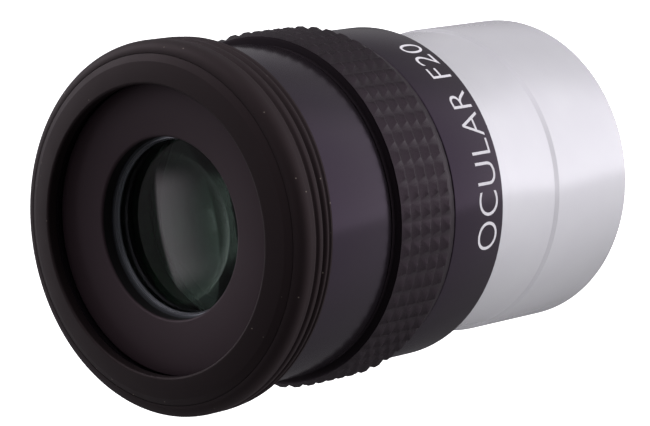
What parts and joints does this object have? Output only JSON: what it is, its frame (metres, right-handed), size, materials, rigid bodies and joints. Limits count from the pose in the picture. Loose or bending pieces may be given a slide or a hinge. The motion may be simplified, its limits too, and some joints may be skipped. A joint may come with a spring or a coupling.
{
  "type": "telescope eyepiece",
  "caption": "Short telescope eyepiece with a 1.25-inch chromed barrel, a black housing, a rubber grip ring and a fold-down rubber eyecup.",
  "frame": {"origin": "centre of the barrel's open rim, on the optical axis, where the eyepiece stands", "axes": "+Z along the optical axis from the telescope towards the eye; the object is round, so X and Y are free, and the lettering faces -Y"},
  "size_m": [0.0364, 0.0364, 0.0549],
  "materials": {
    "chromed_barrel": "satin chrome over turned brass",
    "black_housing": "semi-gloss black anodised",
    "grip_rubber": "moulded black rubber",
    "black_cell": "satin black anodised",
    "seat_ring": "satin",
    "lens_glass": "polished, green anti-reflection coating",
    "matte_black_rings": "matte black",
    "eyecup_rubber": "matte moulded black rubber"
  },
  "bodies": {
    "root": {"barrel": "chromed_barrel", "housing": "black_housing", "grip_ring": "grip_rubber", "lens_cell": "black_cell", "eye_lens_seat_ring": "seat_ring", "eye_lens_flint": "lens_glass", "eye_lens_crown": "lens_glass", "lens_spacer_ring": "matte_black_rings", "field_lens_crown": "lens_glass", "field_lens_flint": "lens_glass", "lens_retaining_ring": "matte_black_rings", "field_stop_ring": "matte_black_rings", "eyecup_base": "eyecup_rubber", "eyecup_skirt": "eyecup_rubber"},
    "eyecup_rim": {"eyecup_rim": "eyecup_rubber"}
  },
  "joints": [
    {"name": "eyecup_pull_up", "type": "slide", "parent": "root", "child": "eyecup_rim", "axis": [0, 0, 1], "range_m": [0, 0.01], "deforming": ["eyecup_skirt"]}
  ]
}
